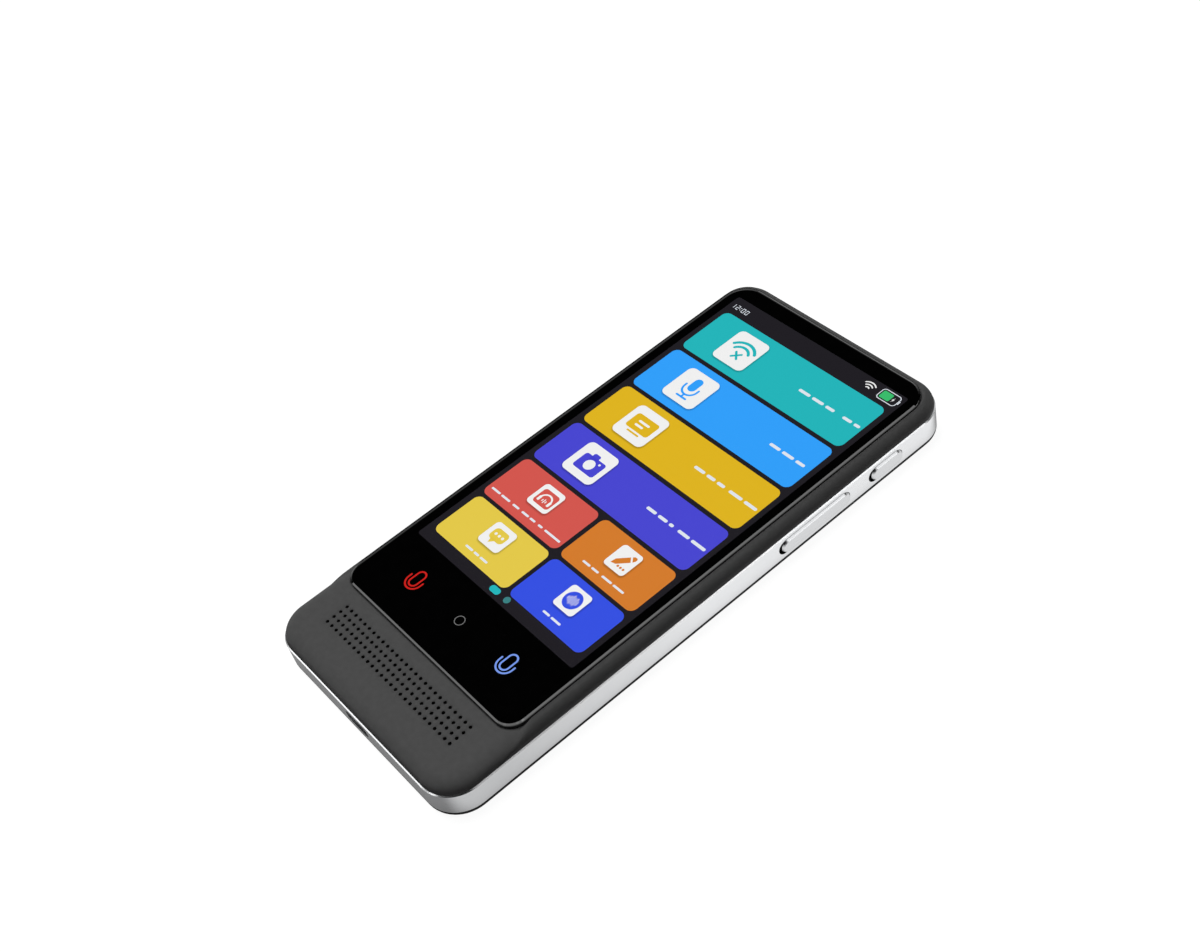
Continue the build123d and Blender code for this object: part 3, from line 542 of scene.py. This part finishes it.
def disc_at(centre, radius):
    return circle(at(*centre), radius * UNIT)


def arc_at(centre, radius, start, end, width):
    return stroke(arc(at(*centre), radius * UNIT, start, end), width * UNIT)


def line_at(start, end, width):
    return stroke([at(*start), at(*end)], width * UNIT)


def printed(name, outlines, material, level, rings=()):
    """Plates and rings of one colour on one layer."""
    bottom = glass_face - LAYER_ROOT * LAYER
    top = glass_face + level * LAYER
    mesh = bmesh.new()
    for outline in outlines:
        add_plate(mesh, outline, bottom, top)
    for outer, inner in rings:
        add_ring(mesh, outer, inner, bottom, top)
    make_piece(name, mesh, material)


# ------------------------------------------------------------------ colours of the picture
SCREEN_COLOURS = {
    "white": colour(243, 243, 243),
    "teal": colour(38, 183, 188),
    "blue": colour(51, 161, 253),
    "yellow": colour(225, 182, 34),
    "indigo": colour(74, 72, 211),
    "red": colour(213, 88, 80),
    "orange": colour(214, 125, 46),
    "lemon": colour(230, 203, 75),
    "royal": colour(54, 81, 228),
    "label": colour(226, 232, 240),
    "green": colour(60, 190, 110),
    "teal_dim": colour(60, 130, 132),
}
BACKGROUND_GLOW = 0.4
screen = {name: lit(f"ui_{name}", shade) for name, shade in SCREEN_COLOURS.items()}
screen["background"] = lit("ui_background", colour(35, 33, 38), BACKGROUND_GLOW)

# ------------------------------------------------------------------ tiles, cards and labels
TILE_RADIUS = 28
TILES = {
    "teal": ((27, 875), (88, 333)),
    "blue": ((27, 875), (352, 590)),
    "yellow": ((27, 876), (608, 838)),
    "indigo": ((26, 876), (857, 1082)),
    "red": ((24, 458), (1100, 1318)),
    "orange": ((479, 874), (1100, 1318)),
    "lemon": ((32, 462), (1334, 1549)),
    "royal": ((481, 874), (1334, 1549)),
}
CARD_ROUND = 0.15                # corner radius of a card as a share of its width
CARDS = {
    "teal": ((154, 315), (122, 293)),
    "blue": ((151, 319), (383, 551)),
    "yellow": ((151, 319), (638, 801)),
    "indigo": ((150, 317), (885, 1045)),
    "red": ((186, 300), (1130, 1238)),
    "orange": ((626, 730), (1130, 1238)),
    "lemon": ((193, 309), (1363, 1470)),
    "royal": ((628, 732), (1363, 1469)),
}
# The shade under a card: each step is darker, smaller and a little higher than the one before.
SHADE_STEPS = 3
SHADE_TONE, SHADE_TONE_STEP = 0.86, 0.14
SHADE_GROW, SHADE_GROW_STEP = 6, 3
SHADE_RISE = 0.5
SHADE_LEFT, SHADE_RIGHT, SHADE_TOP, SHADE_BOTTOM = 4, 3, 5, 4  # shift of each of its sides
# Bars stand for the lettering: middle, height and the ends of each word.
LABEL_ROUND = 0.48               # corner radius of a bar as a share of its height
LABELS = {
    "teal": (214, 13, ((555, 612), (624, 680), (692, 735), (778, 822), (834, 862))),
    "blue": (474, 13, ((670, 722), (734, 790), (802, 845))),
    "yellow": (726, 13, ((542, 596), (608, 650), (662, 700), (724, 790), (802, 864))),
    "indigo": (968, 13, ((556, 606), (618, 664), (676, 697), (722, 780), (792, 862))),
    "red": (1281, 9, ((42, 92), (100, 150), (168, 205), (222, 262), (270, 300), (318, 342), (356, 443))),
    "orange": (1279, 9, ((570, 610), (618, 655), (674, 726), (734, 790))),
    "lemon": (1515, 9, ((190, 232), (240, 268), (276, 318))),
    "royal": (1512, 9, ((636, 672), (680, 730))),
}


def shaded_card(key, x, y):
    """White card on a tile, over a soft shade in the tile's colour."""
    radius = CARD_ROUND * (x[1] - x[0])
    for step in range(SHADE_STEPS):
        tone = SHADE_TONE - SHADE_TONE_STEP * step
        grow = SHADE_GROW - SHADE_GROW_STEP * step
        shade = lit(f"ui_shade_{key}_{step}", faded(SCREEN_COLOURS[key], tone))
        shade_x = (x[0] - grow + SHADE_LEFT, x[1] + grow + SHADE_RIGHT)
        shade_y = (y[0] - grow + SHADE_TOP, y[1] + grow + SHADE_BOTTOM)
        outline = box_at(shade_x, shade_y, radius + grow)
        printed(f"card_shade_{key}_{step}", [outline], shade, ON_TILE + SHADE_RISE * step)
    printed(f"card_{key}", [box_at(x, y, radius)], screen["white"], CARD_LEVEL)


def label(key, y, height, words):
    """Row of bars, one for each word."""
    bars = [box_at(word, (y - height / 2, y + height / 2), height * LABEL_ROUND) for word in words]
    printed(f"label_{key}", bars, screen["label"], ON_TILE)


printed("picture_background", [box_at((3, 899), (0, 1599), 11)], screen["background"], ON_GLASS)
for key, (x, y) in TILES.items():
    printed(f"tile_{key}", [box_at(x, y, TILE_RADIUS)], screen[key], ON_BACKGROUND)
for key, (x, y) in CARDS.items():
    shaded_card(key, x, y)
for key, (y, height, words) in LABELS.items():
    label(key, y, height, words)


# ------------------------------------------------------------------ symbols on the cards
def offline_mark():
    """Two arcs over a small cross."""
    middle = (238, 234)
    left, right, top, bottom = 224, 253, 222, 251
    outlines = [
        arc_at(middle, 69, 36, 144, 13),
        arc_at(middle, 45, 34, 146, 12),
        line_at((left, top), (right, bottom), 10),
        line_at((right, top), (left, bottom), 10),
    ]
    printed("icon_offline", outlines, screen["teal"], ON_CARD)


def microphone():
    """Capsule in a cradle on a stand."""
    middle, line = 237, 9
    cradle_radius, cradle_y, cradle_top = 34, 469, 459
    cradle = [at(middle - cradle_radius, cradle_top)]
    cradle += arc(at(middle, cradle_y), cradle_radius * UNIT, 180, 360)
    cradle += [at(middle + cradle_radius, cradle_top)]
    outlines = [
        box_at((middle - 19, middle + 19), (411, 481), 19),
        stroke(cradle, line * UNIT),
        line_at((middle, 503), (middle, 518), line),
        line_at((214, 520), (261, 520), line),
    ]
    printed("icon_microphone", outlines, screen["blue"], ON_CARD)


def screen_mark():
    """Screen on a foot, with two lines of writing."""
    outlines = [box_at((178, 298), (675, 751), 13), line_at((209, 763), (266, 763), 8)]
    printed("icon_screen", outlines, screen["yellow"], ON_CARD)
    lines = [line_at((214, y), (end, y), 10) for y, end in ((704, 262), (725, 247))]
    printed("icon_screen_lines", lines, screen["white"], ON_SYMBOL)


def camera_mark():
    """Camera body with its finder, lens and lamp."""
    outlines = [box_at((181, 294), (935, 1012), 12), box_at((211, 246), (919, 960), 9)]
    printed("icon_camera", outlines, screen["indigo"], ON_CARD)
    discs = [disc_at((236, 973), 24), disc_at((268, 950), 5)]
    printed("icon_camera_lens", discs, screen["white"], ON_SYMBOL)


def headphones():
    """Headphones round three sound bars, on a square."""
    printed("icon_headphones_square", [box_at((203, 288), (1149, 1221), 14)], screen["red"], ON_CARD)
    outlines = [arc_at((246, 1194), 28, 0, 180, 7)]
    outlines += [box_at(ear, (1184, 1208), 5) for ear in ((213, 225), (267, 279))]
    for x, top, bottom in ((237, 1193, 1200), (246, 1188, 1205), (255, 1193, 1200)):
        outlines.append(line_at((x, top), (x, bottom), 4))
    printed("icon_headphones", outlines, screen["white"], ON_SYMBOL)


def pencil():
    """Pencil with its end cap, and three dots."""
    shaft = [(648, 1218), (652, 1196), (689, 1158), (706, 1175), (669, 1213)]
    cap = [(694, 1153), (701, 1147), (712, 1147), (716, 1152), (716, 1160), (710, 1170)]
    outlines = [[at(*point) for point in outline] for outline in (shaft, cap)]
    outlines += [disc_at((x, 1213), 5) for x in (682, 696, 710)]
    printed("icon_pencil", outlines, screen["orange"], ON_CARD)


def speech_bubble():
    """Bubble with a tail and three dots."""
    tail = [at(231, 1428), at(263, 1428), at(239, 1454)]
    printed("icon_bubble", [box_at((214, 289), (1383, 1436), 18), tail], screen["lemon"], ON_CARD)
    dots = [disc_at((x, 1409), 6) for x in (233, 252, 271)]
    printed("icon_bubble_dots", dots, screen["white"], ON_SYMBOL)


def recorder():
    """Disc with sound bars of different heights."""
    middle = 1416
    printed("icon_recorder", [disc_at((680, middle), 38)], screen["royal"], ON_CARD)
    bars = ((657, 6), (666, 12), (675, 20), (684, 14), (693, 18), (702, 8))
    lines = [line_at((x, middle - half), (x, middle + half), 3.5) for x, half in bars]
    printed("icon_recorder_bars", lines, screen["white"], ON_SYMBOL)


offline_mark()
microphone()
screen_mark()
camera_mark()
headphones()
pencil()
speech_bubble()
recorder()

# ------------------------------------------------------------------ status bar and page marks
DIGIT_WIDTH, DIGIT_HEIGHT, DIGIT_LINE = 11, 21, 2.6
CLOCK_TOP = 36
CLOCK = (("1", 24), ("2", 42), ("0", 72), ("0", 92))  # plain numerals and their left sides
COLON_X, COLON_DOTS, COLON_RADIUS = 62, (41, 51), 2.2
RADIO_MIDDLE, RADIO_RADII, RADIO_LINE = (742, 57), (36, 23, 10), 5.5
RADIO_START, RADIO_END = 47, 133
BATTERY_X, BATTERY_Y, BATTERY_ROUND, BATTERY_LINE = (793, 882), (10, 66), 15, 3.5


def digit(value, left):
    """A plain numeral as strokes."""
    right = left + DIGIT_WIDTH
    top, middle, low = CLOCK_TOP, CLOCK_TOP + DIGIT_HEIGHT / 2, CLOCK_TOP + DIGIT_HEIGHT
    stem = right - DIGIT_WIDTH / 2
    routes = {
        "0": [(left, top), (right, top), (right, low), (left, low), (left, top)],
        "1": [(stem, top), (stem, low)],
        "2": [(left, top), (right, top), (right, middle), (left, middle), (left, low), (right, low)],
    }
    points = routes[value]
    return [line_at(start, end, DIGIT_LINE) for start, end in zip(points, points[1:])]


def clock():
    outlines = []
    for value, left in CLOCK:
        outlines += digit(value, left)
    outlines += [disc_at((COLON_X, y), COLON_RADIUS) for y in COLON_DOTS]
    printed("status_clock", outlines, screen["label"], ON_BACKGROUND)


def radio():
    """Three arcs, one inside the other."""
    arcs = [arc_at(RADIO_MIDDLE, radius, RADIO_START, RADIO_END, RADIO_LINE) for radius in RADIO_RADII]
    printed("status_radio", arcs, screen["white"], ON_BACKGROUND)


def battery_frame(inset):
    return box_at(
        (BATTERY_X[0] + inset, BATTERY_X[1] - inset),
        (BATTERY_Y[0] + inset, BATTERY_Y[1] - inset),
        BATTERY_ROUND - inset,
    )


def battery():
    """Frame with its pole, filling and bolt."""
    pole = box_at((883, 887), (29, 47), 2)
    ring = (battery_frame(0), battery_frame(BATTERY_LINE))
    printed("status_battery", [pole], screen["label"], ON_BACKGROUND, [ring])
    filling = box_at((802, 848), (19, 57), 6)
    printed("status_battery_fill", [filling], screen["green"], ON_BACKGROUND)
    bolt = [at(861, 27), at(853, 41), at(858, 41), at(855, 52), at(864, 37), at(859, 37)]
    printed("status_battery_bolt", [bolt], screen["white"], ON_BACKGROUND)


def page_marks():
    """Bar for the page that shows, dot for the next."""
    printed("page_mark_now", [box_at((411, 461), (1556, 1583), 13)], screen["teal"], ON_BACKGROUND)
    printed("page_mark_next", [disc_at((504, 1569), 14)], screen["teal_dim"], ON_BACKGROUND)


clock()
radio()
battery()
page_marks()

# ------------------------------------------------------------------ touch keys
TOUCH_GLOW = 0.8
TOUCH_LINE = 0.48 * MM
CAPSULE_HALF = 1.28 * MM         # half its width, and its ends from the middle of the key
CAPSULE_NEAR, CAPSULE_FAR = -1.87 * MM, 3.0 * MM
CUP_RADIUS = 2.4 * MM
CUP_MIDDLE, CUP_RIM = -0.37 * MM, 0.5 * MM
RING_RADIUS, RING_LINE = 1.32 * MM, 0.2 * MM

touch_red = lit("touch_red", colour(204, 34, 30), TOUCH_GLOW)
touch_blue = lit("touch_blue", colour(120, 154, 236), TOUCH_GLOW)
touch_grey = lit("touch_grey", colour(120, 120, 120))


def middle_of(name):
    """Middle of a node in plan."""
    low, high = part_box(name)
    return ((low.x + high.x) / 2, (low.y + high.y) / 2)


def capsule(middle, grow):
    x, y = middle
    return rounded_box(
        (x - CAPSULE_HALF - grow, x + CAPSULE_HALF + grow),
        (y + CAPSULE_NEAR - grow, y + CAPSULE_FAR + grow),
        CAPSULE_HALF + grow,
    )


def touch_microphone(name, guide, material):
    """Outlined capsule held in an open cup, over a light guide."""
    middle = middle_of(guide)
    x, y = middle
    cup = [(x - CUP_RADIUS, y + CUP_RIM)]
    cup += arc((x, y + CUP_MIDDLE), CUP_RADIUS, 180, 360)
    cup += [(x + CUP_RADIUS, y + CUP_RIM)]
    ring = (capsule(middle, TOUCH_LINE / 2), capsule(middle, -TOUCH_LINE / 2))
    printed(name, [stroke(cup, TOUCH_LINE)], material, ON_GLASS, [ring])


def touch_ring():
    middle = middle_of("key_light_guide_2")
    ring = (
        circle(middle, RING_RADIUS + RING_LINE / 2),
        circle(middle, RING_RADIUS - RING_LINE / 2),
    )
    printed("touch_ring", [], touch_grey, ON_GLASS, [ring])


touch_microphone("touch_microphone_left", "key_light_guide_1", touch_red)
touch_microphone("touch_microphone_right", "key_light_guide_3", touch_blue)
touch_ring()

# ------------------------------------------------------------------ camera
# A lens of about 50 mm on a 36 mm sensor, above the right and near side, rolled by about 16 degrees.
CAMERA_PLACE = Vector((244.55, -134.45, 310.83)) * MM
CAMERA_HEADING = math.radians(61.3688)  # from +Y, anticlockwise as seen from above
CAMERA_TILT = math.radians(44.1529)     # up from straight down
CAMERA_ROLL = math.radians(-15.6059)

camera_data = bpy.data.cameras.new("camera")
camera_data.sensor_width = 36.0
camera_data.lens = 49.925
camera_data.clip_start = 0.01
camera = bpy.data.objects.new("camera", camera_data)
camera.matrix_world = (
    Matrix.Translation(CAMERA_PLACE)
    @ Matrix.Rotation(CAMERA_HEADING, 4, "Z")
    @ Matrix.Rotation(CAMERA_TILT, 4, "X")
    @ Matrix.Rotation(CAMERA_ROLL, 4, "Z")
)
bpy.context.scene.collection.objects.link(camera)
bpy.context.scene.camera = camera

# ------------------------------------------------------------------ floor
FLOOR_SIZE = 4.0
FLOOR_PAINT = (0.12, 0.12, 0.12, 1)  # dark, so that the shadow on it is faint
FLOOR_SHOWN = 0.95               # glow that the camera sees on top of the lit paint
# Glow in reflections: dark up to the side of the keys, as if a grey card lay before the near end,
# and past that side brighter from the near end to the middle.
GLOSS_FRONT = 0.20
GLOSS_NEAR = 0.70
GLOSS_FAR = 1.14
GLOSS_START = 0.77               # share of the way from the middle to the near end
CARD_FADE_START, CARD_FADE_END = -5 * MM, 3 * MM  # from the face of the keys
body_low, body_high = cad_box


def floor_white():
    """White to the camera, dark paint to the lamps, graded in reflections."""
    material, tree, shader = new_material("floor_white")
    shader.inputs["Base Color"].default_value = FLOOR_PAINT
    shader.inputs["Roughness"].default_value = 1.0
    shader.inputs["Specular IOR Level"].default_value = 0.0
    shader.inputs["Emission Color"].default_value = (1, 1, 1, 1)
    path = tree.nodes.new("ShaderNodeLightPath")
    coordinates = tree.nodes.new("ShaderNodeTexCoord")
    x, y, _ = parts_of(tree, coordinates.outputs["Object"])
    beside = remap(tree, y, GLOSS_NEAR, GLOSS_FAR, GLOSS_START * body_low.y, 0.0)
    fade_start, fade_end = body_high.x + CARD_FADE_START, body_high.x + CARD_FADE_END
    reflected = remap(tree, x, GLOSS_FRONT, beside, fade_start, fade_end, smooth=True)
    in_gloss = combine(tree, "MULTIPLY", path.outputs["Is Glossy Ray"], reflected)
    to_camera = combine(tree, "MULTIPLY", path.outputs["Is Camera Ray"], FLOOR_SHOWN)
    glow = combine(tree, "ADD", in_gloss, to_camera)
    tree.links.new(glow, shader.inputs["Emission Strength"])
    return material


floor_mesh = bmesh.new()
bmesh.ops.create_grid(floor_mesh, x_segments=1, y_segments=1, size=FLOOR_SIZE)
floor_data = bpy.data.meshes.new("floor")
floor_mesh.to_mesh(floor_data)
floor_mesh.free()
floor_data.materials.append(floor_white())
floor = bpy.data.objects.new("floor", floor_data)
bpy.context.scene.collection.objects.link(floor)

# ------------------------------------------------------------------ surroundings
# Pale near the horizon and dark overhead, as in a studio with a white sweep, and white to the camera.
SWEEP_STRENGTH = 0.8
SWEEP_START, SWEEP_END = 0.1, 0.5  # height of the direction where it starts to darken, and is dark
SWEEP_FILL = 0.35                # share of the sweep that lights matt surfaces


def studio_world():
    world = bpy.data.worlds.new("studio")
    world.use_nodes = True
    tree = world.node_tree
    background = tree.nodes["Background"]
    background.inputs["Color"].default_value = (1, 1, 1, 1)
    path = tree.nodes.new("ShaderNodeLightPath")
    direction = tree.nodes.new("ShaderNodeTexCoord")
    _, _, height = parts_of(tree, direction.outputs["Generated"])
    sweep = remap(tree, height, SWEEP_STRENGTH, 0.0, SWEEP_START, SWEEP_END, smooth=True)
    share = remap(tree, path.outputs["Is Glossy Ray"], SWEEP_FILL, 1.0)
    fill = combine(tree, "MULTIPLY", sweep, share)
    strength = combine(tree, "MAXIMUM", path.outputs["Is Camera Ray"], fill)
    tree.links.new(strength, background.inputs["Strength"])
    return world


bpy.context.scene.world = studio_world()

# ------------------------------------------------------------------ lamps
ALONG_X, ALONG_Y, ALONG_Z = (1, 0, 0), (0, 1, 0), (0, 0, 1)
# Each lamp: direction from the object, distance, width and length, radiance, axis of the length.
OVERHEAD = ((-0.32, 0.02, 0.947), 1.2, (0.85, 0.85), 7.0, ALONG_Z)
STRIPS = {
    "light_edge_strip": ((0.33, 0.38, 0.86), 1.23, (0.4, 0.8), 1.8, ALONG_Y),
    "light_crest_strip": ((-0.603, -0.492, 0.627), 1.276, (0.16, 0.5), 1.7, ALONG_X),
    "light_crest_turn": ((-0.29, -0.49, 0.82), 1.2, (0.3, 0.5), 1.5, ALONG_X),
    "light_corner_turn": ((0.05, -0.3, 0.953), 1.2, (0.5, 0.5), 1.5, ALONG_X),
    "light_edge_turn": ((0.25, -0.02, 0.97), 1.2, (0.3, 0.3), 1.5, ALONG_Y),
    "light_right_far": ((0.7475, 0.44, 0.498), 1.2, (0.2, 0.4), 2.5, ALONG_Y),
    "light_right_near": ((0.8, 0.1, 0.535), 1.13, (0.2, 0.45), 0.8, ALONG_Y),
    "light_front_strip": ((-0.62, -0.77, 0.16), 1.2, (0.2, 0.5), 1.6, ALONG_X),
    "light_corner_strip": ((-0.12, -0.93, 0.35), 1.2, (0.3, 0.3), 1.8, ALONG_X),
}


def softbox(name, towards, distance, size, radiance, along):
    """Soft light that faces the object. Its second size runs along the given axis."""
    width, length = size
    data = bpy.data.lights.new(name, "AREA")
    data.shape = "RECTANGLE"
    data.size = width
    data.size_y = length
    data.energy = radiance * math.pi * width * length
    lamp = bpy.data.objects.new(name, data)
    back = Vector(towards).normalized()
    side = Vector(along).cross(back).normalized()
    up = back.cross(side)
    turn = Matrix((side, up, back)).transposed().to_4x4()
    lamp.matrix_world = Matrix.Translation(back * distance) @ turn
    bpy.context.scene.collection.objects.link(lamp)
    return lamp


# The overhead lamp lights matt surfaces only, so the glass shows no lamp. The strips only draw the
# light lines on metal and glass.
softbox("light_overhead", *OVERHEAD).visible_glossy = False
for name, placing in STRIPS.items():
    softbox(name, *placing).visible_diffuse = False

bpy.context.scene.view_settings.view_transform = "Standard"
